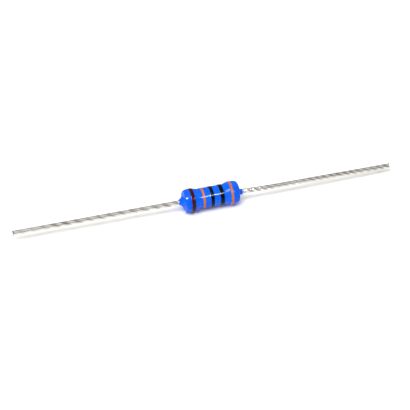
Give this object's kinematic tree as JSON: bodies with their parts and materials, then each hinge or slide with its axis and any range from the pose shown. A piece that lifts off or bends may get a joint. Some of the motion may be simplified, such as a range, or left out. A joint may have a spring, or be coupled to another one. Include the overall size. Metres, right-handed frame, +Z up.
{
  "type": "metal film resistor",
  "caption": "Axial resistor: a dog-bone body in glossy epoxy with printed colour bands, and a straight tinned wire lead at each end.",
  "frame": {"origin": "on the surface that the part lies on, straight below the middle of the coated body", "axes": "+X along the body, from the tolerance band's end to the first digit's end; +Z up, away from the surface; +Y completes the frame"},
  "size_m": [0.065, 0.004, 0.004],
  "materials": {
    "alumina": "fired, matt",
    "nickel_chromium_film": "sputtered, satin",
    "plated_steel": "pressed and tin plated",
    "tinned_wire": "hot tinned, with helical straightening marks",
    "blue_epoxy": "dipped, glossy",
    "brown_ink": "printed and baked",
    "orange_ink": "printed and baked",
    "black_ink": "printed and baked"
  },
  "bodies": {
    "root": {"ceramic_core": "alumina", "resistive_film": "nickel_chromium_film", "left_end_cap": "plated_steel", "right_end_cap": "plated_steel", "left_lead": "tinned_wire", "right_lead": "tinned_wire", "epoxy_coating": "blue_epoxy", "tolerance_band": "brown_ink", "multiplier_band": "orange_ink", "third_digit_band": "black_ink", "second_digit_band": "black_ink", "first_digit_band": "orange_ink"}
  },
  "joints": []
}
